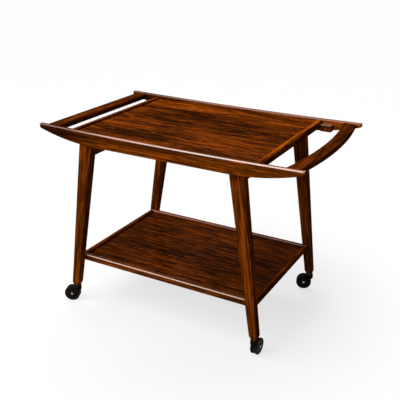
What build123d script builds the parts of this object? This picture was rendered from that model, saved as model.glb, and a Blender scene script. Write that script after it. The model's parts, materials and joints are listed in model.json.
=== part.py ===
from build123d import *
import math
import os

# Bar cart. Millimetres, floor at z = 0, X along the length, Y across, front at -Y.

# Side rails
rail_length = 770.0        # tip to tip
rail_top = 543.0           # top of the rail at mid-length
rail_rise = 4.0            # how much higher the tips lie
rail_height = 36.5         # at mid-length
rail_thickness = 18.0
rail_straight = 380.0      # straight stretch of the lower edge
rail_bead = 7.0            # rounding of the two upper edges
tip_depth = 10.0           # height of the rail at its tips
tip_round = 4.3            # rounding of the tips seen from the side
blank_overrun = 1.05       # the bent blank is longer than the rail by this factor
cart_width = 477.0         # over the outer faces of the rails

# Handles
handle_round = 5.0
handle_drop = 3.0          # top of the handles below the rail tips
left_handle_width = 37.0
left_handle_thickness = 17.0
left_handle_inset = 16.0   # from the rail tips to the bar
bow_width = 36.0
bow_thickness = 15.0
bow_sag = 19.0             # bulge of the bow over its span
bow_reach = 3.0            # how far the bow stands out past the rail tips
cope_depth = 4.0           # how far a bar end wraps over the rounded bead

# Tray
tray_drop = 10.0           # tray surface below the rail top
tray_thickness = 7.0
left_hand_gap = 39.0       # between the left handle and the tray
right_hand_gap = 81.0      # between the crossbar and the middle of the bow
tray_tongue = 4.5          # thickness of the tongue in the rail grooves
tongue_depth = 6.0
tray_rebate = 1.0          # step that seats the lip and the crossbar
tray_lip_width = 12.0
tray_lip_height = 6.0
tray_lip_round = 2.5
crossbar_width = 16.0
crossbar_height = 9.0
crossbar_round = 5.0
tray_nosing = 1.5          # tray edge past the crossbar

# Stop blocks beside the crossbar
block_length = 31.0
block_depth = 20.0
block_height = 19.0
block_drop = 9.0           # block top below the rail top
block_gap = 0.3
block_round = 1.5

# Legs
leg_from_left_tip = 144.0  # rail tip to the centre of a left leg, at the rail underside
leg_from_right_tip = 176.0
leg_splay = 66.5           # how far a foot stands out past the top of its leg
leg_top_width = 42.0       # along the cart, at the rail underside
leg_foot_width = 23.0
leg_depth = 23.5           # across the cart; the legs lie against the inner faces of the rails
leg_foot = 52.0            # height of the leg's end above the floor
leg_tip_width = 16.5
leg_tip_depth = 16.0
leg_tip_height = 11.0
leg_round = 3.0
leg_tip_round = 2.0

# Aprons under the tray
apron_height = 56.0
apron_thickness = 14.0
apron_offset = 6.0         # from the middle of the legs towards the middle of the cart

# Lower shelf
shelf_overhang = 4.0       # shelf ends past the centres of the legs
shelf_top = 153.0          # top of the lips
lip_height = 17.0
lip_width = 14.0
lip_round = 3.0
shelf_drop = 7.0           # shelf surface below the lip top
shelf_thickness = 7.0
shelf_tongue = 4.5
shelf_tongue_depth = 5.0

# Dowels and screws
dowel_size = 8.0
handle_dowel_pitch = 13.0
handle_dowel_in_rail = 12.0
handle_dowel_in_bar = 16.0
apron_dowel_pitch = 22.0
apron_dowel_drop = 4.0     # from the middle of the apron down to that of its dowels
apron_dowel_in_leg = 14.0
apron_dowel_in_apron = 16.0
shelf_dowel_in_lip = 8.0
shelf_dowel_in_leg = 11.0
shelf_dowel_from_end = 9.0
screw_size = 4.0
screw_head_size = 7.5
screw_head_height = 3.0
leg_screw_pitch = 15.0
leg_screw_in_rail = 11.0
crossbar_screw_pitch = 170.0
crossbar_screw_in_bar = 7.0
block_screw_in_rail = 11.0

# Casters
wheel_radius = 23.0
wheel_width = 6.7
wheel_edge_round = 1.5
wheel_rim = 5.5            # width of the raised rim ring
wheel_hub_radius = 6.5
wheel_recess = 1.0
caster_trail = 16.0        # axle behind the swivel axis
web_width = 5.0            # housing between the two wheels
web_hub_radius = 10.0
post_width = 12.0          # web under the swivel axis
cap_size = 23.0            # round hood over the front of the wheels
cap_height = 14.0
cap_round = 1.5
stem_size = 7.0
stem_in_cap = 4.5
socket_wall = 1.0
socket_depth = 24.0
flange_size = 15.0
flange_height = 2.0
axle_size = 5.0
axle_head_size = 7.0
axle_head_height = 1.5
axle_dome = 0.8
turns = {"front_left": 22.0, "front_right": -92.0, "rear_left": 35.0, "rear_right": 18.0}

# Clearances
fit = 0.05                 # radial, pins and running fits
tongue_clearance = 0.2
wheel_side_clearance = 0.3
wheel_tread_clearance = 1.2
swivel_clearance = 0.3

# Places worked out from the sizes above
half_width = cart_width / 2
rail_inner = half_width - rail_thickness
rail_bottom = rail_top - rail_height
rail_mid_x = -bow_reach / 2
rail_left = rail_mid_x - rail_length / 2
rail_right = rail_mid_x + rail_length / 2
tip_top = rail_top + rail_rise
handle_top = tip_top - handle_drop
handle_dowel_z = handle_top - bow_thickness / 2
tray_top = rail_top - tray_drop
tray_bottom = tray_top - tray_thickness
tray_seat = tray_top - tray_rebate
left_handle_x = rail_left + left_handle_inset + left_handle_width / 2
tray_left = left_handle_x + left_handle_width / 2 + left_hand_gap
bow_outer = rail_right + bow_reach
crossbar_right = bow_outer - bow_width - right_hand_gap
crossbar_left = crossbar_right - crossbar_width
tray_right = crossbar_right + tray_nosing
leg_inner = rail_inner - leg_depth
leg_mid_y = rail_inner - leg_depth / 2
apron_mid_z = tray_bottom - apron_height / 2
shelf_surface = shelf_top - shelf_drop
shelf_bottom = shelf_surface - shelf_thickness
lip_bottom = shelf_top - lip_height
socket_size = stem_size + 2 * (fit + socket_wall)
corners = {"front_left": (-1, -1), "front_right": (1, -1), "rear_left": (-1, 1), "rear_right": (1, 1)}


def block(x, y, z):
    """Box between two limits on each axis."""
    size = Box(x[1] - x[0], y[1] - y[0], z[1] - z[0])
    return Pos((x[0] + x[1]) / 2, (y[0] + y[1]) / 2, (z[0] + z[1]) / 2) * size


def rod_y(x, y, z, diameter):
    """Round rod along Y between two limits."""
    rod = Rot(90, 0, 0) * Cylinder(diameter / 2, abs(y[1] - y[0]))
    return Pos(x, (y[0] + y[1]) / 2, z) * rod


def rod_z(x, y, z, diameter):
    """Upright round rod between two heights."""
    return Pos(x, y, (z[0] + z[1]) / 2) * Cylinder(diameter / 2, abs(z[1] - z[0]))


def upper_edges(solid, direction):
    """The long edges along one axis that lie at the top of a bar."""
    return solid.edges().filter_by(direction).group_by(Axis.Z)[-1]


def leg_width(z):
    """Leg section along the cart at a height."""
    share = (z - leg_foot) / (rail_bottom - leg_foot)
    return leg_foot_width + share * (leg_top_width - leg_foot_width)


def leg_x(side, z):
    """Leg centre along the cart at a height."""
    top = rail_left + leg_from_left_tip if side < 0 else rail_right - leg_from_right_tip
    share = (rail_bottom - z) / (rail_bottom - leg_foot)
    return top + side * share * leg_splay


def apron_x(side):
    """Middle of an apron along the cart."""
    return leg_x(side, apron_mid_z) - side * apron_offset


def rail_blank():
    """Front rail: beaded section bent to the rise of the tips, cut to the boat shape."""
    bend = ((rail_length / 2) ** 2 + rail_rise ** 2) / (2 * rail_rise)
    axis = Axis((rail_mid_x, 0, rail_top + bend), (0, 1, 0))
    depth = rail_height + rail_rise
    section = Pos(-rail_inner - rail_thickness / 2, rail_top - depth / 2) * Rectangle(rail_thickness, depth)
    section = fillet(section.vertices().group_by(Axis.Y)[-1], rail_bead)
    section = Plane.YZ.offset(rail_mid_x) * section
    sweep_angle = math.degrees(math.asin(rail_length / 2 / bend)) * blank_overrun
    beam = revolve(section.rotate(axis, -sweep_angle), axis, 2 * sweep_angle)
    # side outline: straight lower edge with a long arc up to each tip
    reach = (rail_length - rail_straight) / 2
    climb = tip_top - tip_depth - rail_bottom
    radius = (reach ** 2 + climb ** 2) / (2 * climb)
    half_turn = math.asin(reach / radius) / 2
    via = (radius * math.sin(half_turn), radius * (1 - math.cos(half_turn)))
    low_left = rail_mid_x - rail_straight / 2
    low_right = rail_mid_x + rail_straight / 2
    tip_low = tip_top - tip_depth
    outline = Polyline(
        (rail_left, tip_low), (rail_left, tip_top), (rail_right, tip_top), (rail_right, tip_low))
    outline += ThreePointArc(
        (rail_right, tip_low), (low_right + via[0], rail_bottom + via[1]), (low_right, rail_bottom))
    outline += Line((low_right, rail_bottom), (low_left, rail_bottom))
    outline += ThreePointArc(
        (low_left, rail_bottom), (low_left - via[0], rail_bottom + via[1]), (rail_left, tip_low))
    side = make_face(outline)
    ends = side.vertices().group_by(Axis.X)
    side = fillet(ends[0] + ends[-1], tip_round)
    boat = extrude(Plane.XZ * side, amount=half_width)
    # plan outline: both tips rounded over the full thickness
    plan = Pos(rail_mid_x, -rail_inner - rail_thickness / 2) * SlotOverall(rail_length, rail_thickness)
    return beam & boat & extrude(plan, amount=tip_top)


def dowel_y(x, ends, z, spare):
    """Dowel along Y between two ends, or its hole with some room to spare."""
    way = spare if ends[1] > ends[0] else -spare
    return rod_y(x, (ends[0] - way, ends[1] + way), z, dowel_size + 2 * spare)


def handle_dowels(x_mid, spare):
    """Dowels of one handle, two at each end, or their holes."""
    rods = []
    for side in (-1, 1):
        ends = (side * (rail_inner - handle_dowel_in_bar), side * (rail_inner + handle_dowel_in_rail))
        for step in (-0.5, 0.5):
            rods.append(dowel_y(x_mid + step * handle_dowel_pitch, ends, handle_dowel_z, spare))
    return rods


def screw_y(x, z, ends, spare):
    """Flat-headed wood screw along Y from head to tip, or its hole with some room to spare."""
    head_y, tip_y = ends
    way = 1 if tip_y > head_y else -1
    head_end = head_y + way * (screw_head_height + spare)
    head = rod_y(x, (head_y, head_end), z, screw_head_size + 2 * spare)
    return head + rod_y(x, (head_y, tip_y + way * spare), z, screw_size + 2 * spare)


def cut(solid, tools):
    """Take each tool away from a solid."""
    for tool in tools:
        solid = solid - tool
    return solid


# Places of the fasteners
bow_radius = (rail_inner ** 2 + bow_sag ** 2) / (2 * bow_sag)
bow_center_x = bow_outer - bow_radius
bow_end_x = bow_center_x + math.sqrt((bow_radius - bow_width / 2) ** 2 - rail_inner ** 2)
leg_screw_z = (rail_bottom + tray_bottom) / 2
block_z = rail_top - block_drop - block_height / 2
block_x = tray_right + block_gap + block_length / 2
block_face = rail_inner - block_depth

leg_screw_places = []
for side_x, side_y in corners.values():
    for step in (-0.5, 0.5):
        leg_screw_places.append((leg_x(side_x, leg_screw_z) + step * leg_screw_pitch, side_y))

leg_screws = []
leg_screw_holes = []
for x, side in leg_screw_places:
    ends = (side * leg_inner, side * (rail_inner + leg_screw_in_rail))
    leg_screws.append(screw_y(x, leg_screw_z, ends, 0))
    leg_screw_holes.append(screw_y(x, leg_screw_z, ends, fit))

block_screws = []
block_screw_holes = []
for side in (-1, 1):
    ends = (side * block_face, side * (rail_inner + block_screw_in_rail))
    block_screws.append(screw_y(block_x, block_z, ends, 0))
    block_screw_holes.append(screw_y(block_x, block_z, ends, fit))

left_handle_dowels = handle_dowels(left_handle_x, 0)
left_handle_holes = handle_dowels(left_handle_x, fit)
bow_dowels = handle_dowels(bow_end_x, 0)
bow_holes = handle_dowels(bow_end_x, fit)

apron_dowels = {}
apron_holes = {}
for name, side_x in (("left", -1), ("right", 1)):
    apron_dowels[name] = []
    apron_holes[name] = []
    for side_y in (-1, 1):
        for step in (-0.5, 0.5):
            z = apron_mid_z - apron_dowel_drop + step * apron_dowel_pitch
            ends = (side_y * (leg_inner - apron_dowel_in_apron), side_y * (leg_inner + apron_dowel_in_leg))
            apron_dowels[name].append(dowel_y(apron_x(side_x), ends, z, 0))
            apron_holes[name].append(dowel_y(apron_x(side_x), ends, z, fit))

shelf_dowels = []
shelf_holes = []
shelf_mid_z = (lip_bottom + shelf_top) / 2
shelf_left = leg_x(-1, shelf_mid_z) - shelf_overhang
shelf_right = leg_x(1, shelf_mid_z) + shelf_overhang
for side_x, side_y in corners.values():
    x = leg_x(side_x, shelf_mid_z) + side_x * (shelf_overhang - shelf_dowel_from_end)
    ends = (side_y * (leg_inner - shelf_dowel_in_lip), side_y * (leg_inner + shelf_dowel_in_leg))
    shelf_dowels.append(dowel_y(x, ends, shelf_mid_z, 0))
    shelf_holes.append(dowel_y(x, ends, shelf_mid_z, fit))

crossbar_screws = []
crossbar_screw_holes = []
crossbar_mid_x = (crossbar_left + crossbar_right) / 2
crossbar_screw_tip = tray_seat + crossbar_screw_in_bar
for step in (-1, 0, 1):
    place = Pos(crossbar_mid_x, step * crossbar_screw_pitch, 0)
    for spare, row in ((0, crossbar_screws), (fit, crossbar_screw_holes)):
        head_z = (tray_bottom, tray_bottom + screw_head_height + spare)
        shank_z = (tray_bottom, crossbar_screw_tip + spare)
        head = rod_z(0, 0, head_z, screw_head_size + 2 * spare)
        row.append(place * (head + rod_z(0, 0, shank_z, screw_size + 2 * spare)))


def side_rails():
    """Front and rear rails with the tray groove and the holes of dowels and screws."""
    blank = rail_blank()
    groove_x = (tray_left - tongue_clearance, tray_right + tongue_clearance)
    groove_z = (tray_bottom, tray_bottom + tray_tongue)
    rails = {}
    for name, side, body in (("front", -1, blank), ("rear", 1, mirror(blank, about=Plane.XZ))):
        groove_y = sorted((side * rail_inner, side * (rail_inner + tongue_depth)))
        tools = [block(groove_x, groove_y, groove_z)]
        tools += left_handle_holes + bow_holes + leg_screw_holes + block_screw_holes
        rails[name + "_side_rail"] = cut(body, tools)
    return rails, blank


def left_handle_bar(rails):
    """Straight flat bar whose ends are coped over the beads of the rails."""
    section = RectangleRounded(left_handle_width, left_handle_thickness, handle_round)
    bar = extrude(Plane.XZ * section, amount=rail_inner + cope_depth, both=True)
    bar = Pos(left_handle_x, 0, handle_top - left_handle_thickness / 2) * bar
    return cut(bar, left_handle_holes + rails)


def right_bow_handle(rails):
    """Flat bar bowed outward in plan, coped over the beads of the rails."""
    reach = rail_inner + cope_depth
    outer_end = bow_center_x + math.sqrt(bow_radius ** 2 - reach ** 2)
    inner_radius = bow_radius - bow_width
    inner_end = bow_center_x + math.sqrt(inner_radius ** 2 - reach ** 2)
    outline = ThreePointArc((outer_end, -reach), (bow_outer, 0), (outer_end, reach))
    outline += Line((outer_end, reach), (inner_end, reach))
    outline += ThreePointArc((inner_end, reach), (bow_outer - bow_width, 0), (inner_end, -reach))
    outline += Line((inner_end, -reach), (outer_end, -reach))
    bow = extrude(make_face(outline), amount=bow_thickness)
    bow = fillet(bow.edges().filter_by(GeomType.CIRCLE), handle_round)
    return cut(Pos(0, 0, handle_top - bow_thickness) * bow, bow_holes + rails)


def tray_panel():
    """Panel with a tongue along each rail and a seat at each end for the lip and the crossbar."""
    inside = (tray_left + tray_lip_width, crossbar_left)
    panel = block(inside, (-rail_inner, rail_inner), (tray_bottom, tray_top))
    panel += block((tray_left, tray_right), (-rail_inner, rail_inner), (tray_bottom, tray_seat))
    tongue_y = rail_inner + tongue_depth - tongue_clearance
    panel += block((tray_left, tray_right), (-tongue_y, tongue_y), (tray_bottom, tray_bottom + tray_tongue))
    return cut(panel, crossbar_screw_holes)


def tray_left_lip(rails):
    """Low rounded lip at the left end of the tray."""
    lip = block((tray_left, tray_left + tray_lip_width), (-rail_inner, rail_inner),
                (tray_seat, tray_top + tray_lip_height))
    lip = fillet(upper_edges(lip, Axis.Y), tray_lip_round)
    return cut(lip, rails)


def tray_right_crossbar(rails):
    """Raised rounded bar at the right end of the tray."""
    reach = rail_inner + cope_depth
    bar = block((crossbar_left, crossbar_right), (-reach, reach), (tray_seat, tray_top + crossbar_height))
    bar = fillet(upper_edges(bar, Axis.Y), crossbar_round)
    return cut(bar, rails + crossbar_screw_holes)


def stop_block(side):
    """Small block on the inner face of a rail beside the crossbar."""
    y = sorted((side * block_face, side * rail_inner))
    x = (block_x - block_length / 2, block_x + block_length / 2)
    body = block(x, y, (block_z - block_height / 2, block_z + block_height / 2))
    free_face = body.faces().sort_by(Axis.Y)[0 if side > 0 else -1]
    body = fillet(free_face.edges(), block_round)
    return cut(body, block_screw_holes)


def leg(side_x, side_y):
    """Tapered splayed leg against the inner face of its rail, with a chamfered end and a caster hole."""
    shoulder = leg_foot + leg_tip_height
    levels = (
        (leg_foot, leg_tip_width, leg_tip_depth, leg_tip_round),
        (shoulder, leg_width(shoulder), leg_depth, leg_round),
        (tray_bottom, leg_width(tray_bottom), leg_depth, leg_round))
    sections = []
    for z, width, depth, rounding in levels:
        place = Pos(leg_x(side_x, z), side_y * leg_mid_y, z)
        sections.append(place * RectangleRounded(width, depth, rounding))
    body = loft(sections[:2], ruled=True) + loft(sections[1:], ruled=True)
    socket_z = (leg_foot, leg_foot + socket_depth + fit)
    socket_hole = rod_z(leg_x(side_x, leg_foot), side_y * leg_mid_y, socket_z, socket_size + 2 * fit)
    holes = [socket_hole] + leg_screw_holes + shelf_holes + apron_holes["left" if side_x < 0 else "right"]
    return cut(body, holes)


def apron(name, side_x):
    """Upright board between a pair of legs, under the tray."""
    x = apron_x(side_x)
    board = block((x - apron_thickness / 2, x + apron_thickness / 2), (-leg_inner, leg_inner),
                  (tray_bottom - apron_height, tray_bottom))
    return cut(board, apron_holes[name])


def shelf_pieces():
    """Shelf panel with a tongue all round, and the four lips that hold it."""
    inner_y = leg_inner - lip_width
    inner_x = (shelf_left + lip_width, shelf_right - lip_width)
    reach = shelf_tongue_depth - tongue_clearance
    tongue_z = (shelf_bottom, shelf_bottom + shelf_tongue)
    panel = block(inner_x, (-inner_y, inner_y), (shelf_bottom, shelf_surface))
    panel += block((inner_x[0] - reach, inner_x[1] + reach), (-inner_y - reach, inner_y + reach), tongue_z)
    groove = block((inner_x[0] - shelf_tongue_depth, inner_x[1] + shelf_tongue_depth),
                   (-inner_y - shelf_tongue_depth, inner_y + shelf_tongue_depth), tongue_z)
    height = (lip_bottom, shelf_top)
    pieces = {"shelf_panel": panel}
    for name, y in (("front", (-leg_inner, -inner_y)), ("rear", (inner_y, leg_inner))):
        lip = block((shelf_left, shelf_right), y, height)
        lip = fillet(upper_edges(lip, Axis.X), lip_round)
        pieces["shelf_" + name + "_lip"] = cut(lip, [groove] + shelf_holes)
    for name, x in (("left", (shelf_left, inner_x[0])), ("right", (inner_x[1], shelf_right))):
        lip = block(x, (-inner_y, inner_y), height)
        lip = fillet(upper_edges(lip, Axis.Y), lip_round)
        pieces["shelf_" + name + "_lip"] = cut(lip, [groove])
    return pieces


def wheel_solid():
    """Disc wheel on the Y axis with its inner face at y = 0 and a raised rim and hub outside."""
    bore = axle_size / 2 + fit
    rim = wheel_radius - wheel_rim
    floor = wheel_width - wheel_recess
    points = [(bore, 0), (wheel_radius, 0), (wheel_radius, wheel_width), (rim, wheel_width), (rim, floor),
              (wheel_hub_radius, floor), (wheel_hub_radius, wheel_width), (bore, wheel_width)]
    profile = make_face(Polyline(*points, close=True))
    profile = fillet(profile.vertices().group_by(Axis.X)[-1], wheel_edge_round)
    return revolve(profile, Axis.Y)


def housing_solid(cap_top):
    """Round hood with a web down to the axle, with room for a wheel on each side of the web."""
    hub = Pos(-caster_trail, wheel_radius) * Circle(web_hub_radius)
    post = Pos(0, (wheel_radius + cap_top) / 2) * Rectangle(post_width, cap_top - wheel_radius)
    web_face = make_hull(hub.edges() + post.edges())
    web = extrude(Plane.XZ * web_face, amount=web_width / 2, both=True)
    cap = rod_z(0, 0, (cap_top - cap_height, cap_top), cap_size)
    cap = fillet(cap.edges().filter_by(GeomType.CIRCLE), cap_round)
    room_size = 2 * (wheel_radius + wheel_tread_clearance)
    room_end = web_width / 2 + wheel_width + 2 * wheel_side_clearance
    cap -= rod_y(-caster_trail, (-room_end, room_end), wheel_radius, room_size)
    housing = cap + web
    housing -= rod_z(0, 0, (cap_top - stem_in_cap - fit, cap_top), stem_size + 2 * fit)
    return housing - rod_y(-caster_trail, (-room_end, room_end), wheel_radius, axle_size + 2 * fit)


def axle_solid():
    """Axle riveted over with a domed head at each end."""
    head_y = web_width / 2 + wheel_width + 2 * wheel_side_clearance
    tip_y = head_y + axle_head_height
    axle = rod_y(-caster_trail, (-tip_y, tip_y), wheel_radius, axle_size)
    for side in (-1, 1):
        head = rod_y(-caster_trail, (side * head_y, side * tip_y), wheel_radius, axle_head_size)
        outer_face = head.faces().sort_by(Axis.Y)[0 if side < 0 else -1]
        axle += fillet(outer_face.edges(), axle_dome)
    return axle


def caster_pieces(name):
    """Socket, stem, housing, axle and two wheels of one caster, at its resting turn."""
    side_x, side_y = corners[name]
    place = Pos(leg_x(side_x, leg_foot), side_y * leg_mid_y, 0)
    turned = place * Rot(0, 0, turns[name])
    flange_z = leg_foot - flange_height
    socket_top = leg_foot + socket_depth
    socket = rod_z(0, 0, (flange_z, leg_foot), flange_size)
    socket += rod_z(0, 0, (flange_z, socket_top), socket_size)
    socket -= rod_z(0, 0, (flange_z, socket_top), stem_size + 2 * fit)
    cap_top = flange_z - swivel_clearance
    stem = rod_z(0, 0, (cap_top - stem_in_cap, socket_top), stem_size)
    wheel = Pos(-caster_trail, web_width / 2 + wheel_side_clearance, wheel_radius) * wheel_solid()
    pieces = {
        "socket": place * socket,
        "stem": place * stem,
        "housing": turned * housing_solid(cap_top),
        "axle": turned * axle_solid(),
        "left_wheel": turned * wheel,
        "right_wheel": turned * mirror(wheel, about=Plane.XZ)}
    return {name + "_caster_" + piece: solid for piece, solid in pieces.items()}


def build():
    """Every node of the cart by name."""
    nodes, blank = side_rails()
    rails = [blank, mirror(blank, about=Plane.XZ)]
    nodes["left_handle_bar"] = left_handle_bar(rails)
    nodes["right_bow_handle"] = right_bow_handle(rails)
    nodes["tray_panel"] = tray_panel()
    nodes["tray_left_lip"] = tray_left_lip(rails)
    nodes["tray_right_crossbar"] = tray_right_crossbar(rails)
    nodes["front_stop_block"] = stop_block(-1)
    nodes["rear_stop_block"] = stop_block(1)
    nodes["left_apron"] = apron("left", -1)
    nodes["right_apron"] = apron("right", 1)
    for name, (side_x, side_y) in corners.items():
        nodes[name + "_leg"] = leg(side_x, side_y)
    nodes.update(shelf_pieces())
    for name in corners:
        nodes.update(caster_pieces(name))
    nodes["left_handle_dowels"] = left_handle_dowels
    nodes["bow_handle_dowels"] = bow_dowels
    nodes["left_apron_dowels"] = apron_dowels["left"]
    nodes["right_apron_dowels"] = apron_dowels["right"]
    nodes["shelf_dowels"] = shelf_dowels
    nodes["leg_screws"] = leg_screws
    nodes["crossbar_screws"] = crossbar_screws
    nodes["stop_block_screws"] = block_screws
    return nodes


os.makedirs("parts", exist_ok=True)
for node, shape in build().items():
    if isinstance(shape, list):
        shape = Compound(children=shape)
    export_step(shape, os.path.join("parts", node + ".step"))
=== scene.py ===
import json
import math
import bpy
from mathutils import Matrix, Vector


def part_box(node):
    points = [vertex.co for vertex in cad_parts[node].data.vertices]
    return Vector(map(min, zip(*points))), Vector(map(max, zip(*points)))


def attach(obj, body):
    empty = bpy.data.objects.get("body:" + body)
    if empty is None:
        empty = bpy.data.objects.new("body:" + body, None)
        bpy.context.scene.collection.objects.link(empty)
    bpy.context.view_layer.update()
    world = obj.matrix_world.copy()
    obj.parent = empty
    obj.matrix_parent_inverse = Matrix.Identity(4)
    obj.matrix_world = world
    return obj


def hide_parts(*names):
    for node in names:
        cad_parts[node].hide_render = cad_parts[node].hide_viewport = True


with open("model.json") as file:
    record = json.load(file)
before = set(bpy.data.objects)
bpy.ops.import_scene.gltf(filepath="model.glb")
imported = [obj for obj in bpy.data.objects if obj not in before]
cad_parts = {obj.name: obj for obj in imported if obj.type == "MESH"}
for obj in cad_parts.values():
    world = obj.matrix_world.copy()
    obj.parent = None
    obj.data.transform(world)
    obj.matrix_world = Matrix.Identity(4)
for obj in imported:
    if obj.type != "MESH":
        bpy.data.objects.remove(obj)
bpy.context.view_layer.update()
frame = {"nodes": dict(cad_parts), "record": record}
cadNodes = frame["nodes"]


# small helpers for node trees

def addNode(tree, kind, **values):
    node = tree.nodes.new(kind)
    for name, value in values.items():
        setattr(node, name, value)
    return node


def setInputs(node, **values):
    for name, value in values.items():
        node.inputs[name.replace("_", " ")].default_value = value
    return node


def link(tree, source, target):
    tree.links.new(source, target)


def newGroup(name, inputs, outputs):
    group = bpy.data.node_groups.new(name, "ShaderNodeTree")
    for label, kind, value in inputs:
        socket = group.interface.new_socket(name=label, in_out="INPUT", socket_type=kind)
        if value is not None:
            socket.default_value = value
    for label, kind in outputs:
        group.interface.new_socket(name=label, in_out="OUTPUT", socket_type=kind)
    ins = addNode(group, "NodeGroupInput")
    outs = addNode(group, "NodeGroupOutput")
    return group, ins, outs


def feed(tree, value, socket):
    if isinstance(value, bpy.types.NodeSocket):
        link(tree, value, socket)
    elif isinstance(value, tuple):
        socket.default_value = (*value, 1.0)
    else:
        socket.default_value = value


def mathNode(tree, operation, first, second, clamp=False):
    node = addNode(tree, "ShaderNodeMath", operation=operation, use_clamp=clamp)
    feed(tree, first, node.inputs[0])
    feed(tree, second, node.inputs[1])
    return node.outputs[0]


def remap(tree, value, low, high, toLow=0.0, toHigh=1.0, curve="SMOOTHSTEP"):
    node = addNode(tree, "ShaderNodeMapRange", interpolation_type=curve)
    given = {"Value": value, "From Min": low, "From Max": high, "To Min": toLow, "To Max": toHigh}
    for name, source in given.items():
        feed(tree, source, node.inputs[name])
    return node.outputs["Result"]


def mixColor(tree, factor, first, second, blend="MIX"):
    node = addNode(tree, "ShaderNodeMix", data_type="RGBA", blend_type=blend)
    for slot, value in ((0, factor), (6, first), (7, second)):  # the slots that a colour mix uses
        feed(tree, value, node.inputs[slot])
    return node.outputs[2]


def toneRamp(tree, value, levels):
    ramp = addNode(tree, "ShaderNodeValToRGB")
    stops = ramp.color_ramp.elements
    while len(stops) < len(levels):
        stops.new(0.5)
    for stop, (place, level) in zip(stops, levels):
        stop.position = place
        stop.color = (level, level, level, 1.0)
    link(tree, value, ramp.inputs["Fac"])
    return ramp.outputs["Color"]


def stretchedNoise(tree, coords, stretch, detail, roughness, distortion=0.0):
    scale = addNode(tree, "ShaderNodeVectorMath", operation="MULTIPLY")
    link(tree, coords, scale.inputs[0])
    scale.inputs[1].default_value = stretch
    noise = addNode(tree, "ShaderNodeTexNoise")
    link(tree, scale.outputs[0], noise.inputs["Vector"])
    setInputs(noise, Scale=1.0, Detail=detail, Roughness=roughness, Distortion=distortion)
    return noise.outputs["Fac"]


# shared effects; lengths are metres, coordinates come in with the grain along X
# a noise is given by its repeats per metre along X, Y and Z, its detail, roughness and distortion

grainNoise = {
    "figure": ((2.0, 18.0, 18.0), 2.0, 0.5, 0.6),
    "bands": ((4.0, 90.0, 90.0), 3.0, 0.6, 0.2),
    "streaks": ((8.0, 300.0, 300.0), 3.0, 0.65),
    "flecks": ((26.0, 420.0, 420.0), 2.0, 0.6),
    "veins": ((6.0, 330.0, 330.0), 2.0, 0.6, 0.2),
    "fibres": ((70.0, 1200.0, 1200.0), 2.0, 0.5),
    "pores": ((130.0, 2200.0, 2200.0), 1.0, 0.5),
}
grainShares = {"figure": 0.15, "bands": 0.25, "streaks": 0.35, "flecks": 0.25}  # parts of the tone
grainSteps = {  # noise levels where each colour starts and is full
    "middle": (0.45, 0.5), "light": (0.5, 0.56),
    "veins": (0.53, 0.62), "fibres": (0.3, 0.7), "pores": (0.62, 0.7),
}
grainDepth = {"fibres": 0.35, "pores": 0.5, "raised": 0.4}


def makeGrainGroup():
    group, ins, outs = newGroup(
        "rosewoodGrain",
        [("Coords", "NodeSocketVector", None),
         ("Fine", "NodeSocketFloat", 1.0),
         ("Dark", "NodeSocketColor", (0.02, 0.007, 0.0018, 1)),
         ("Middle", "NodeSocketColor", (0.1, 0.02, 0.002, 1)),
         ("Light", "NodeSocketColor", (0.21, 0.042, 0.003, 1)),
         ("Streaks", "NodeSocketFloat", 0.7)],
        [("Color", "NodeSocketColor"), ("Height", "NodeSocketFloat")])
    finer = addNode(group, "ShaderNodeCombineXYZ")
    finer.inputs["X"].default_value = 1.0
    link(group, ins.outputs["Fine"], finer.inputs["Y"])
    link(group, ins.outputs["Fine"], finer.inputs["Z"])
    scaled = addNode(group, "ShaderNodeVectorMath", operation="MULTIPLY")
    link(group, ins.outputs["Coords"], scaled.inputs[0])
    link(group, finer.outputs[0], scaled.inputs[1])
    coords = scaled.outputs[0]
    dark = ins.outputs["Dark"]
    layers = {name: stretchedNoise(group, coords, *noise) for name, noise in grainNoise.items()}
    tone = 0.0
    for name, share in grainShares.items():
        tone = mathNode(group, "ADD", mathNode(group, "MULTIPLY", layers[name], share), tone)
    wood = mixColor(group, remap(group, tone, *grainSteps["middle"]), dark, ins.outputs["Middle"])
    wood = mixColor(group, remap(group, tone, *grainSteps["light"]), wood, ins.outputs["Light"])
    veins = remap(group, layers["veins"], *grainSteps["veins"])
    wood = mixColor(group, mathNode(group, "MULTIPLY", veins, ins.outputs["Streaks"]), wood, dark)
    fibres = remap(group, layers["fibres"], *grainSteps["fibres"], 0.0, grainDepth["fibres"])
    wood = mixColor(group, fibres, wood, dark)
    pores = remap(group, layers["pores"], *grainSteps["pores"])
    wood = mixColor(group, mathNode(group, "MULTIPLY", pores, grainDepth["pores"]), wood, dark)
    link(group, wood, outs.inputs["Color"])
    raised = mathNode(group, "MULTIPLY", layers["fibres"], grainDepth["raised"])
    link(group, mathNode(group, "SUBTRACT", raised, pores), outs.inputs["Height"])
    return group


wearShape = {
    "edge": (0.99, 0.86),  # how far a rounded edge turns away before it counts as one
    "patches": ((70.0, 110.0, 110.0), 4.0, 0.65), "patchSteps": (0.15, 0.4), "breakupShare": 0.5,
}


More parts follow.
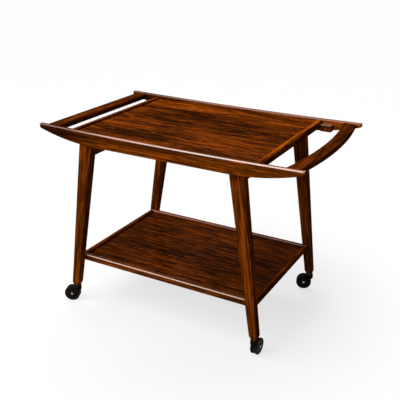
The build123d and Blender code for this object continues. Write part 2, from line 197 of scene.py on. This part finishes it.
def makeWearGroup():
    group, ins, outs = newGroup(
        "edgeWear",
        [("Coords", "NodeSocketVector", None),
         ("Width", "NodeSocketFloat", 0.002),
         ("Breakup", "NodeSocketFloat", 0.5)],
        [("Mask", "NodeSocketFloat")])
    rounded = addNode(group, "ShaderNodeBevel", samples=6)
    link(group, ins.outputs["Width"], rounded.inputs["Radius"])
    surface = addNode(group, "ShaderNodeNewGeometry")
    facing = addNode(group, "ShaderNodeVectorMath", operation="DOT_PRODUCT")
    link(group, rounded.outputs["Normal"], facing.inputs[0])
    link(group, surface.outputs["Normal"], facing.inputs[1])
    edge = remap(group, facing.outputs["Value"], *wearShape["edge"])
    patches = stretchedNoise(group, ins.outputs["Coords"], *wearShape["patches"])
    breakup = mathNode(group, "MULTIPLY", ins.outputs["Breakup"], wearShape["breakupShare"])
    kept = remap(group, mathNode(group, "SUBTRACT", patches, breakup), *wearShape["patchSteps"])
    link(group, mathNode(group, "MULTIPLY", edge, kept), outs.inputs["Mask"])
    return group


upwardSteps = (0.5, 0.85)  # a face counts as turned up between these heights of its normal


# Masks from the surface normal: rounded arrises, faces turned up, and the crown of a bead. They set where
# the coat gloss goes and where a pale painted highlight is laid into the colour.
def makeArrisGroup():
    group, ins, outs = newGroup(
        "edgeGlossAndPaintedHighlight",
        [("Start", "NodeSocketFloat", 0.96), ("Full", "NodeSocketFloat", 0.86)],
        [("Mask", "NodeSocketFloat"), ("Upward", "NodeSocketFloat"), ("Crown", "NodeSocketFloat")])
    place = addNode(group, "ShaderNodeTexCoord")
    ups = addNode(group, "ShaderNodeSeparateXYZ")
    link(group, place.outputs["Normal"], ups.inputs[0])
    upward = remap(group, ups.outputs["Z"], *upwardSteps)
    link(group, upward, outs.inputs["Upward"])
    size = addNode(group, "ShaderNodeVectorMath", operation="ABSOLUTE")
    link(group, place.outputs["Normal"], size.inputs[0])
    parts = addNode(group, "ShaderNodeSeparateXYZ")
    link(group, size.outputs[0], parts.inputs[0])
    squarest = mathNode(group, "MAXIMUM", parts.outputs["X"], parts.outputs["Y"])
    squarest = mathNode(group, "MAXIMUM", squarest, parts.outputs["Z"])
    mask = remap(group, squarest, ins.outputs["Start"], ins.outputs["Full"])
    link(group, mask, outs.inputs["Mask"])
    link(group, mathNode(group, "MULTIPLY", mask, upward), outs.inputs["Crown"])
    return group


polishShape = {
    "smears": ((14.0, 24.0, 24.0), 4.0, 0.6, 0.4), "smearSteps": (0.35, 0.7),
    "specks": ((420.0, 420.0, 420.0), 1.0, 0.5), "speckSteps": (0.76, 0.8),
}


def makePolishGroup():
    group, ins, outs = newGroup(
        "handPolish",
        [("Coords", "NodeSocketVector", None),
         ("Smooth", "NodeSocketFloat", 0.2),
         ("Dull", "NodeSocketFloat", 0.4)],
        [("Roughness", "NodeSocketFloat"), ("Specks", "NodeSocketFloat")])
    smears = stretchedNoise(group, ins.outputs["Coords"], *polishShape["smears"])
    spread = mathNode(group, "SUBTRACT", ins.outputs["Dull"], ins.outputs["Smooth"])
    rise = mathNode(group, "MULTIPLY", remap(group, smears, *polishShape["smearSteps"]), spread)
    link(group, mathNode(group, "ADD", rise, ins.outputs["Smooth"]), outs.inputs["Roughness"])
    specks = stretchedNoise(group, ins.outputs["Coords"], *polishShape["specks"])
    link(group, remap(group, specks, *polishShape["speckSteps"]), outs.inputs["Specks"])
    return group


skinShape = {
    "mottle": ((160.0, 160.0, 160.0), 5.0, 0.65), "dustSteps": (0.4, 0.75), "cornerReach": 0.006,
    "roughSteps": (0.2, 0.8), "roughness": (0.3, 0.55), "texture": ((1800.0, 1800.0, 1800.0), 2.0, 0.6),
}


def makeSkinGroup():
    group, ins, outs = newGroup(
        "mouldedSkin",
        [("Coords", "NodeSocketVector", None),
         ("Base", "NodeSocketColor", (0.02, 0.02, 0.018, 1)),
         ("Dust", "NodeSocketColor", (0.16, 0.14, 0.11, 1)),
         ("Amount", "NodeSocketFloat", 0.3)],
        [("Color", "NodeSocketColor"), ("Roughness", "NodeSocketFloat"), ("Height", "NodeSocketFloat")])
    mottle = stretchedNoise(group, ins.outputs["Coords"], *skinShape["mottle"])
    corners = addNode(group, "ShaderNodeAmbientOcclusion", samples=6)
    setInputs(corners, Distance=skinShape["cornerReach"])
    hidden = mathNode(group, "SUBTRACT", 1.0, corners.outputs["AO"])
    dusty = mathNode(group, "ADD", remap(group, mottle, *skinShape["dustSteps"]), hidden)
    dusty = mathNode(group, "MULTIPLY", dusty, ins.outputs["Amount"], clamp=True)
    link(group, mixColor(group, dusty, ins.outputs["Base"], ins.outputs["Dust"]), outs.inputs["Color"])
    rough = remap(group, mottle, *skinShape["roughSteps"], *skinShape["roughness"])
    link(group, rough, outs.inputs["Roughness"])
    texture = stretchedNoise(group, ins.outputs["Coords"], *skinShape["texture"])
    link(group, texture, outs.inputs["Height"])
    return group


grainGroup = makeGrainGroup()
wearGroup = makeWearGroup()
arrisGroup = makeArrisGroup()
polishGroup = makePolishGroup()
skinGroup = makeSkinGroup()
print("node groups:", ", ".join(group.name for group in bpy.data.node_groups))


# materials

def newMaterial(name):
    material = bpy.data.materials.new(name)
    material.use_nodes = True
    tree = material.node_tree
    return material, tree, tree.nodes["Principled BSDF"]


def placeGroup(tree, group, **values):
    node = addNode(tree, "ShaderNodeGroup", node_tree=group)
    return setInputs(node, **values)


def grainCoords(tree, along, lean=0.0):
    place = addNode(tree, "ShaderNodeTexCoord")
    parts = addNode(tree, "ShaderNodeSeparateXYZ")
    link(tree, place.outputs["Object"], parts.inputs[0])
    axes = [parts.outputs[axis] for axis in "XYZ"]
    if lean:  # the grain follows legs that splay outwards on the way down
        outward = mathNode(tree, "MULTIPLY", mathNode(tree, "SIGN", axes[0], 0.0), lean)
        axes[0] = mathNode(tree, "ADD", axes[0], mathNode(tree, "MULTIPLY", axes[2], outward))
    turned = addNode(tree, "ShaderNodeCombineXYZ")
    start = "XYZ".index(along)
    for slot in range(3):
        link(tree, axes[(start + slot) % 3], turned.inputs[slot])
    return turned.outputs[0]


def bumpNode(tree, height, distance, strength):
    bump = addNode(tree, "ShaderNodeBump")
    setInputs(bump, Strength=strength, Distance=distance)
    link(tree, height, bump.inputs["Height"])
    return bump.outputs["Normal"]


toneStepWaver = {"noise": ((5.0, 12.0, 12.0), 2.0, 0.5), "reach": 0.08}  # how unevenly the tone steps meet


# Brightness steps along one axis of a piece: partly the wood's own tone, partly painted light, shade and
# reflection.
def toneAndPaintedLightRamp(tree, coords, axis, reach, toneAndPaintedLightSteps):
    parts = addNode(tree, "ShaderNodeSeparateXYZ")
    link(tree, coords, parts.inputs[0])
    along = remap(tree, parts.outputs[axis], -reach, reach, curve="LINEAR")
    waver = stretchedNoise(tree, coords, *toneStepWaver["noise"])
    waver = mathNode(tree, "MULTIPLY", waver, toneStepWaver["reach"])
    return toneRamp(tree, mathNode(tree, "ADD", along, waver), toneAndPaintedLightSteps)


def makeWood(name, look):
    material, tree, shader = newMaterial(name)
    coords = grainCoords(tree, look["along"], look["lean"])
    grain = placeGroup(tree, grainGroup, Fine=look["fine"], Streaks=look["streaks"])
    setInputs(grain, Dark=(*look["dark"], 1), Middle=(*look["middle"], 1), Light=(*look["light"], 1))
    wear = placeGroup(tree, wearGroup, Width=look["wearWidth"], Breakup=look["wearBreakup"])
    polish = placeGroup(tree, polishGroup, Smooth=look["smooth"], Dull=look["dull"])
    arris = placeGroup(tree, arrisGroup, Start=look["arrisStart"], Full=look["arrisFull"])
    for node in (grain, wear, polish):
        link(tree, coords, node.inputs["Coords"])
    wood, shine = grain.outputs["Color"], arris.outputs[look["coatOn"]]
    if look["toneAndPaintedLightSteps"]:
        toneAndPaintedLight = toneAndPaintedLightRamp(tree, coords, look["toneAxis"], look["toneReach"], look["toneAndPaintedLightSteps"])
        wood = mixColor(tree, 1.0, wood, toneAndPaintedLight, "MULTIPLY")
        shine = mathNode(tree, "MULTIPLY", shine, toneAndPaintedLight, clamp=True)
    worn = mathNode(tree, "MULTIPLY", wear.outputs["Mask"], look["wearAmount"])
    color = mixColor(tree, worn, wood, look["wearColor"])
    # Pale colour laid on the masked arrises or tops: a painted highlight.
    paintedHighlight = mathNode(tree, "MULTIPLY", arris.outputs[look["paintedHighlightOn"]], look["paintedHighlight"])
    color = mixColor(tree, paintedHighlight, color, look["paintedHighlightColor"])
    flecks = mathNode(tree, "MULTIPLY", polish.outputs["Specks"], look["flecks"])
    link(tree, mixColor(tree, flecks, color, look["wearColor"]), shader.inputs["Base Color"])
    link(tree, polish.outputs["Roughness"], shader.inputs["Roughness"])
    turnedAway = addNode(tree, "ShaderNodeLayerWeight")
    fadeStart, fadeEnd = look["coatFade"]
    faced = remap(tree, turnedAway.outputs["Facing"], fadeStart, fadeEnd, look["coat"], 0.0)
    link(tree, mathNode(tree, "MULTIPLY", shine, faced), shader.inputs["Coat Weight"])
    link(tree, bumpNode(tree, grain.outputs["Height"], *look["bump"]), shader.inputs["Normal"])
    setInputs(shader, Coat_Roughness=look["coatRough"], Coat_IOR=look["coatIor"])
    setInputs(shader, Specular_IOR_Level=look["gloss"])
    return material


woodLook = {  # what a wood has unless its own look below says otherwise
    "along": "X", "lean": 0.0, "fine": 1.0, "streaks": 0.6,
    "dark": (0.034, 0.009, 0.0012), "middle": (0.16, 0.032, 0.002), "light": (0.34, 0.07, 0.004),
    "toneAxis": "Y", "toneReach": 0.22, "toneAndPaintedLightSteps": (),  # place from 0 to 1, brightness
    "smooth": 0.3, "dull": 0.5, "gloss": 0.0, "bump": (0.0002, 0.25),
    "arrisStart": 0.96, "arrisFull": 0.86,
    "coatOn": "Mask", "coat": 0.0, "coatRough": 0.12, "coatIor": 1.9, "coatFade": (0.5, 0.85),
    "paintedHighlightOn": "Mask", "paintedHighlight": 0.0, "paintedHighlightColor": (0.4, 0.24, 0.17),
    "wearWidth": 0.0015, "wearBreakup": 0.8, "wearAmount": 0.3, "wearColor": (0.42, 0.19, 0.07),
    "flecks": 0.2,
}
panelLook = {
    "fine": 0.5, "streaks": 0.7, "coatOn": "Upward", "coat": 0.03, "coatRough": 0.06, "coatIor": 1.5,
    "dark": (0.02, 0.005, 0.0005), "middle": (0.14, 0.026, 0.001), "light": (0.36, 0.068, 0.0025),
}
railLook = {
    "toneAxis": "X", "toneReach": 0.39,
    # Darker towards the left end as wood tone; lighter towards the right end as painted light against lamp
    # falloff.
    "toneAndPaintedLightSteps": ((0.0, 0.2), (0.14, 0.2), (0.32, 0.75), (0.6, 1.0), (0.8, 1.25), (1.0, 1.4)),
    "dark": (0.06, 0.014, 0.0012), "middle": (0.2, 0.04, 0.002), "light": (0.4, 0.082, 0.004),
    "arrisStart": 0.998, "arrisFull": 0.97,
    "coatOn": "Crown", "coat": 1.0, "coatRough": 0.25, "coatIor": 3.0,
    # Pale colour on the bead's crown: a painted highlight line along the rail.
    "paintedHighlightOn": "Crown", "paintedHighlight": 0.35, "paintedHighlightColor": (0.5, 0.26, 0.17),
}
# Pale colour along the lips' rounded arrises: a painted highlight line, fainter on the rear lip.
lipLook = {"arrisStart": 0.998, "arrisFull": 0.95, "paintedHighlight": 0.8, "paintedHighlightColor": (0.8, 0.6, 0.5)}
woodLooks = {
    "rail_wood": railLook,
    "rear_rail_wood": {**railLook, "coat": 0.2},
    "handle_wood": {"along": "Y", "middle": (0.12, 0.021, 0.0015), "light": (0.26, 0.048, 0.003)},
    "tray_veneer": {
        **panelLook,
        # The lighter strip along the rear edge is a painted reflection of the rear rail, and the dark band
        # just before it a painted dark reflection; the other steps are veneer tone.
        "toneAndPaintedLightSteps": ((0.0, 0.85), (0.45, 0.95), (0.74, 0.78), (0.84, 0.55), (0.9, 1.25), (1.0, 1.25))},
    "shelf_veneer": {
        **panelLook, "streaks": 0.5, "dark": (0.034, 0.008, 0.0006), "toneAxis": "X", "toneReach": 0.33,
        # The darker right end is painted shade from the tray above; the other steps are veneer tone.
        "toneAndPaintedLightSteps": ((0.0, 0.5), (0.3, 0.65), (0.55, 0.95), (0.75, 0.6), (1.0, 0.42))},
    "lip_wood": lipLook,
    "rear_lip_wood": {**lipLook, "paintedHighlight": 0.4},
    # Much lighter than the other woods: painted light on the crossbar's lit top.
    "cross_wood": {"along": "Y", "middle": (0.38, 0.072, 0.003), "light": (0.68, 0.135, 0.006)},
    "block_wood": {
        "coatOn": "Upward", "coat": 1.0, "coatRough": 0.15, "coatIor": 2.4,
        # Pale colour on the block's top face: a painted highlight.
        "paintedHighlightOn": "Upward", "paintedHighlight": 0.2, "paintedHighlightColor": (0.45, 0.32, 0.26)},
    "apron_wood": {"along": "Y"},
    "leg_wood": {
        "along": "Z", "lean": 0.145, "middle": (0.175, 0.034, 0.002), "light": (0.37, 0.074, 0.004)},
    "dowel_wood": {
        "along": "Y", "dark": (0.3, 0.18, 0.08), "middle": (0.45, 0.29, 0.14), "light": (0.56, 0.38, 0.2)},
}
materials = {slot: makeWood(slot, {**woodLook, **look}) for slot, look in woodLooks.items()}


def makePlastic(name, look):
    material, tree, shader = newMaterial(name)
    coords = grainCoords(tree, "X")
    skin = placeGroup(tree, skinGroup, Base=(*look["base"], 1), Dust=(*look["dust"], 1))
    setInputs(skin, Amount=look["dustAmount"])
    wear = placeGroup(tree, wearGroup, Width=look["wearWidth"], Breakup=look["wearBreakup"])
    for node in (skin, wear):
        link(tree, coords, node.inputs["Coords"])
    scuffed = mathNode(tree, "MULTIPLY", wear.outputs["Mask"], look["wearAmount"])
    link(tree, mixColor(tree, scuffed, skin.outputs["Color"], look["dust"]), shader.inputs["Base Color"])
    link(tree, skin.outputs["Roughness"], shader.inputs["Roughness"])
    link(tree, bumpNode(tree, skin.outputs["Height"], *look["bump"]), shader.inputs["Normal"])
    setInputs(shader, Specular_IOR_Level=look["gloss"])
    return material


plasticLook = {"base": (0.005, 0.004, 0.0024), "wearWidth": 0.0015, "gloss": 0.02, "bump": (0.0001, 0.15)}
plasticLooks = {
    "caster_plastic": {
        "dust": (0.05, 0.04, 0.024), "dustAmount": 0.18, "wearBreakup": 0.4, "wearAmount": 0.5},
    "wheel_plastic": {
        "dust": (0.085, 0.07, 0.045), "dustAmount": 0.2, "wearBreakup": 0.1, "wearAmount": 1.0},
}
materials.update({slot: makePlastic(slot, {**plasticLook, **look}) for slot, look in plasticLooks.items()})


def makeSteel(name, look):
    material, tree, shader = newMaterial(name)
    coords = grainCoords(tree, look["along"])
    polish = placeGroup(tree, polishGroup, Smooth=look["smooth"], Dull=look["dull"])
    link(tree, coords, polish.inputs["Coords"])
    turned = stretchedNoise(tree, coords, *look["turning"])
    tone = mixColor(tree, remap(tree, turned, *look["turningSteps"]), look["shade"], look["base"])
    link(tree, mixColor(tree, polish.outputs["Specks"], tone, look["shade"]), shader.inputs["Base Color"])
    link(tree, polish.outputs["Roughness"], shader.inputs["Roughness"])
    link(tree, bumpNode(tree, turned, *look["bump"]), shader.inputs["Normal"])
    setInputs(shader, Metallic=1.0)
    return material


steelLook = {  # lathe marks around every pin and screw
    "turning": ((60.0, 2400.0, 2400.0), 2.0, 0.5), "turningSteps": (0.3, 0.7), "bump": (0.00005, 0.2),
}
steelLooks = {
    "screw_steel": {
        "along": "Y", "base": (0.2, 0.085, 0.03), "shade": (0.1, 0.042, 0.015),
        "smooth": 0.4, "dull": 0.55},
    "caster_steel": {
        "along": "Z", "base": (0.74, 0.72, 0.7), "shade": (0.5, 0.48, 0.46),
        "smooth": 0.12, "dull": 0.3},
    "axle_steel": {
        "along": "Y", "base": (0.4, 0.38, 0.35), "shade": (0.24, 0.22, 0.2),
        "smooth": 0.2, "dull": 0.35},
}
materials.update({slot: makeSteel(slot, {**steelLook, **look}) for slot, look in steelLooks.items()})
print("materials:", ", ".join(sorted(materials)))


# dressing of the CAD nodes

specialLooks = {
    "tray_left_lip": "apron_wood", "tray_right_crossbar": "cross_wood", "shelf_left_lip": "apron_wood",
    "shelf_right_lip": "apron_wood", "shelf_rear_lip": "rear_lip_wood",
    "front_stop_block": "block_wood", "rear_stop_block": "block_wood",
}
for part in frame["record"]["subparts"]:
    node = cadNodes[part["node"]]
    node.data.materials.clear()
    node.data.materials.append(materials[specialLooks.get(part["node"], part["material_slot"])])
print("dressed", len(cadNodes), "nodes")


# side rails and bow handle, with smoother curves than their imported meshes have

railShape = {
    "front": "front_side_rail", "rear": "rear_side_rail", "slot": "rail_wood",
    "top": 0.543, "rise": 0.004, "height": 0.0365, "straight": 0.38, "bead": 0.007,
    "tipDepth": 0.01, "tipRound": 0.0043, "tipLift": 1.042, "tipLeast": 0.00002, "ease": 0.0008,
    "stations": 121, "beadSteps": 8, "easeSteps": 2,
}
bowShape = {
    "node": "right_bow_handle", "slot": "handle_wood", "sag": 0.019, "width": 0.036,
    "thickness": 0.015, "drop": 0.003, "round": 0.005, "stations": 61, "roundSteps": 6,
}
bodyNodes = frame["record"]["behaviour"]["bodies"]
frameBody = next(name for name, nodes in bodyNodes.items() if railShape["front"] in nodes)


def addSurface(name, node, look, rings):
    count = len(rings[0])
    points = [point for ring in rings for point, facing in ring]
    faces = []
    for start in range(0, len(points) - count, count):
        for step in range(count):
            nextStep = (step + 1) % count
            faces.append((start + step, start + nextStep, start + count + nextStep, start + count + step))
    faces.append(tuple(reversed(range(count))))
    faces.append(tuple(range(len(points) - count, len(points))))
    mesh = bpy.data.meshes.new(name)
    mesh.from_pydata(points, [], faces, shade_flat=False)
    if mesh.polygons[0].normal.dot(rings[0][0][1]) < 0:
        mesh.flip_normals()
    mesh.normals_split_custom_set_from_vertices([facing for ring in rings for point, facing in ring])
    mesh.materials.append(materials[look])
    piece = bpy.data.objects.new(name, mesh)
    bpy.context.scene.collection.objects.link(piece)
    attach(piece, frameBody)
    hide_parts(node)


def railTop(fromMiddle, half):
    bend = (half ** 2 + railShape["rise"] ** 2) / (2 * railShape["rise"])
    return railShape["top"] + bend - math.sqrt(bend ** 2 - fromMiddle ** 2)


def railBottom(fromMiddle, half):
    run = half - railShape["straight"] / 2
    climb = railShape["height"] + railShape["rise"] - railShape["tipDepth"]
    radius = (run ** 2 + climb ** 2) / (2 * climb)
    past = max(abs(fromMiddle) - railShape["straight"] / 2, 0.0)
    return railShape["top"] - railShape["height"] + radius - math.sqrt(radius ** 2 - past ** 2)


def railHalfSection(fromMiddle, half, halfThick):
    tip = max(half - abs(fromMiddle), railShape["tipLeast"])
    corner, bead = railShape["tipRound"], railShape["bead"]
    top, low = railTop(fromMiddle, half), railBottom(fromMiddle, half)
    ceiling, wall = top, halfThick
    if tip < corner:  # rounded over in the side view
        drop = math.sqrt(corner ** 2 - (corner - tip) ** 2)
        ceiling = min(top, railShape["top"] + railShape["rise"] - corner + drop)
        inward = railBottom(half - corner, half)
        low = max(low, inward + corner * railShape["tipLift"] - drop)  # the lower edge slopes here
    if tip < halfThick:  # and in plan
        wall = math.sqrt(halfThick ** 2 - (halfThick - tip) ** 2)
    ease = min(railShape["ease"], wall)
    section = []
    for step in range(railShape["easeSteps"] + 1):
        turn = math.pi / 2 * (step / railShape["easeSteps"] - 1)
        out, up = math.cos(turn), math.sin(turn)
        section.append((wall - ease + ease * out, low + ease + ease * up, out, up))
    for step in range(railShape["beadSteps"] + 1):
        turn = math.pi / 2 * step / railShape["beadSteps"]
        out, up = math.cos(turn), math.sin(turn)
        across = halfThick - bead + bead * out
        if across > wall:
            across, out, up = wall, 1.0, 0.0
        height = top - bead + math.sqrt(bead ** 2 - max(across - halfThick + bead, 0.0) ** 2)
        if height > ceiling:
            height, out, up = ceiling, 0.0, 1.0
        section.append((across, height, out, up))
    return section


def makeRail(name, node, look):
    low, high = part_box(node)
    middle, half = (low.x + high.x) / 2, (high.x - low.x) / 2
    center, halfThick = (low.y + high.y) / 2, (high.y - low.y) / 2
    rings = []
    for station in range(railShape["stations"]):
        fromMiddle = -half * math.cos(math.pi * station / (railShape["stations"] - 1))
        section = railHalfSection(fromMiddle, half, halfThick)
        ring = [(Vector((middle + fromMiddle, center + across, height)), Vector((0.0, out, up)))
                for across, height, out, up in section]
        ring += [(Vector((middle + fromMiddle, center - across, height)), Vector((0.0, -out, up)))
                 for across, height, out, up in reversed(section)]
        rings.append(ring)
    shaped = []
    for station, ring in enumerate(rings):
        before, after = rings[max(station - 1, 0)], rings[min(station + 1, len(rings) - 1)]
        turned = []
        for step, (point, facing) in enumerate(ring):
            along = after[step][0] - before[step][0]
            normal = along.cross(Vector((0.0, -facing.z, facing.y))).normalized()
            turned.append((point, normal if normal.dot(facing) > 0 else -normal))
        shaped.append(turned)
    addSurface(name, node, look, shaped)


def makeBow():
    low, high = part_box(railShape["rear"])
    middle, half, inner = (low.x + high.x) / 2, (high.x - low.x) / 2, low.y
    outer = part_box(bowShape["node"])[1].x
    radius = (inner ** 2 + bowShape["sag"] ** 2) / (2 * bowShape["sag"])
    center = outer - radius
    top = railShape["top"] + railShape["rise"] - bowShape["drop"]
    corner, bead = bowShape["round"], railShape["bead"]
    section = []
    for quarter in range(4):
        sideOut, sideUp = ((1, 1), (0, 1), (0, 0), (1, 0))[quarter]
        bendOut = radius - corner if sideOut else radius - bowShape["width"] + corner
        bendUp = top - corner if sideUp else top - bowShape["thickness"] + corner
        for step in range(bowShape["roundSteps"] + 1):
            turn = math.pi / 2 * (quarter + step / bowShape["roundSteps"])
            out, up = math.cos(turn), math.sin(turn)
            section.append((bendOut + corner * out, bendUp + corner * up, out, up))
    ends = []
    for reach, height, out, up in section:  # each end is coped over the bead of its rail
        endX = center + math.sqrt(reach ** 2 - inner ** 2)
        above = max(height - railTop(endX - middle, half) + bead, 0.0)
        ends.append(inner + bead - math.sqrt(bead ** 2 - above ** 2))
    rings = []
    for station in range(bowShape["stations"]):
        share = 2 * station / (bowShape["stations"] - 1) - 1
        ring = []
        for (reach, height, out, up), end in zip(section, ends):
            across = share * end
            forward = math.sqrt(reach ** 2 - across ** 2)
            facing = Vector((out * forward / reach, out * across / reach, up))
            ring.append((Vector((center + forward, across, height)), facing))
        rings.append(ring)
    addSurface("bowHandle", bowShape["node"], bowShape["slot"], rings)


makeRail("frontRail", railShape["front"], "rail_wood")
makeRail("rearRail", railShape["rear"], "rear_rail_wood")
makeBow()
print("rails and bow handle shaped")


# floor, light and camera

stageLook = {
    "floorSize": 80.0, "floorColor": (0.93, 0.93, 0.93), "bounceColor": (0.38, 0.38, 0.38),
    "nearWhite": 0.72, "farWhite": 0.99, "nearReach": 0.3, "farReach": 0.7,  # white glow over the paper
    "skyColor": (1.0, 1.0, 1.0),
    "skyStops": ((0.0, 1.0), (0.05, 0.95), (0.1, 0.004), (0.6, 0.006), (1.0, 0.3)),  # height, brightness
}


def seenRays(tree):
    path = addNode(tree, "ShaderNodeLightPath")
    seen = mathNode(tree, "MAXIMUM", path.outputs["Is Camera Ray"], path.outputs["Is Glossy Ray"])
    return mathNode(tree, "MAXIMUM", seen, path.outputs["Is Transmission Ray"])


def makeFloor():
    size = stageLook["floorSize"] / 2
    mesh = bpy.data.meshes.new("studioFloor")
    corners = [(-size, -size, 0), (size, -size, 0), (size, size, 0), (-size, size, 0)]
    mesh.from_pydata(corners, [], [(0, 1, 2, 3)])
    floor = bpy.data.objects.new("studioFloor", mesh)
    bpy.context.scene.collection.objects.link(floor)
    material, tree, shader = newMaterial("floorPaper")
    tree.nodes.remove(shader)
    paper = addNode(tree, "ShaderNodeBsdfDiffuse")
    white = setInputs(addNode(tree, "ShaderNodeEmission"), Color=(1, 1, 1, 1), Strength=1.0)
    seen = seenRays(tree)
    tone = mixColor(tree, seen, stageLook["bounceColor"], stageLook["floorColor"])
    link(tree, tone, paper.inputs["Color"])
    place = addNode(tree, "ShaderNodeTexCoord")
    reach = addNode(tree, "ShaderNodeVectorMath", operation="LENGTH")
    link(tree, place.outputs["Object"], reach.inputs[0])
    share = remap(tree, reach.outputs["Value"], stageLook["nearReach"], stageLook["farReach"],
                  stageLook["nearWhite"], stageLook["farWhite"])
    mixed = addNode(tree, "ShaderNodeMixShader")
    link(tree, mathNode(tree, "MULTIPLY", seen, share), mixed.inputs[0])
    link(tree, paper.outputs[0], mixed.inputs[1])
    link(tree, white.outputs[0], mixed.inputs[2])
    link(tree, mixed.outputs[0], tree.nodes["Material Output"].inputs["Surface"])
    mesh.materials.append(material)


def makeWorld():
    world = bpy.data.worlds.new("studioWorld")
    world.use_nodes = True
    tree = world.node_tree
    place = addNode(tree, "ShaderNodeTexCoord")
    parts = addNode(tree, "ShaderNodeSeparateXYZ")
    link(tree, place.outputs["Generated"], parts.inputs[0])
    glow = toneRamp(tree, parts.outputs["Z"], stageLook["skyStops"])
    sky = mixColor(tree, seenRays(tree), glow, stageLook["skyColor"])
    link(tree, sky, tree.nodes["Background"].inputs["Color"])
    bpy.context.scene.world = world


lampSetup = {
    "softKey": {
        "place": (-1.2, -1.8, 2.3), "aim": (0.0, 0.0, 0.45), "size": (3.2, 3.2), "power": 112.0,
        "lit": True, "mirrored": False},
    "backSoft": {
        "place": (-1.2, 1.5, 2.7), "aim": (0.0, 0.0, 0.5), "size": (2.4, 0.9), "power": 44.0,
        "lit": True, "mirrored": False},
    "whiteCard": {  # only seen as the soft line along polished edges
        "place": (-1.0, -0.4, 2.9), "aim": (0.0, 0.0, 0.5), "size": (2.4, 1.2), "power": 20.0,
        "lit": False, "mirrored": True},
}


def makeLamp(name, setup):
    data = bpy.data.lights.new(name, "AREA")
    data.shape = "RECTANGLE"
    data.size, data.size_y = setup["size"]
    data.energy = setup["power"]
    lamp = bpy.data.objects.new(name, data)
    lamp.visible_diffuse = setup["lit"]
    lamp.visible_glossy = setup["mirrored"]
    lamp.location = setup["place"]
    aim = Vector(setup["aim"]) - Vector(setup["place"])
    lamp.rotation_euler = aim.to_track_quat("-Z", "Y").to_euler()
    bpy.context.scene.collection.objects.link(lamp)


cameraView = {
    "place": (0.8429, -1.5824, 1.0495), "yaw": 28.26, "pitch": 22.26, "roll": 0.9,
    "focalPixels": 665.1, "imagePixels": 400, "sensorWidth": 36.0,
}


def makeCamera():
    yaw, pitch, roll = (math.radians(cameraView[key]) for key in ("yaw", "pitch", "roll"))
    forward = Vector((-math.sin(yaw) * math.cos(pitch), math.cos(yaw) * math.cos(pitch), -math.sin(pitch)))
    level = Vector((math.cos(yaw), math.sin(yaw), 0.0))
    upright = level.cross(forward)
    right = level * math.cos(roll) + upright * math.sin(roll)
    up = upright * math.cos(roll) - level * math.sin(roll)
    data = bpy.data.cameras.new("photoCamera")
    data.sensor_width = cameraView["sensorWidth"]
    data.lens = data.sensor_width * cameraView["focalPixels"] / cameraView["imagePixels"]
    camera = bpy.data.objects.new("photoCamera", data)
    turn = Matrix((right, up, -forward)).transposed()
    camera.matrix_world = Matrix.Translation(cameraView["place"]) @ turn.to_4x4()
    bpy.context.scene.collection.objects.link(camera)
    bpy.context.scene.camera = camera


makeFloor()
makeWorld()
for lampName, lampValues in lampSetup.items():
    makeLamp(lampName, lampValues)
makeCamera()
bpy.context.scene.view_settings.view_transform = "Standard"
print("stage, lamps and camera placed")
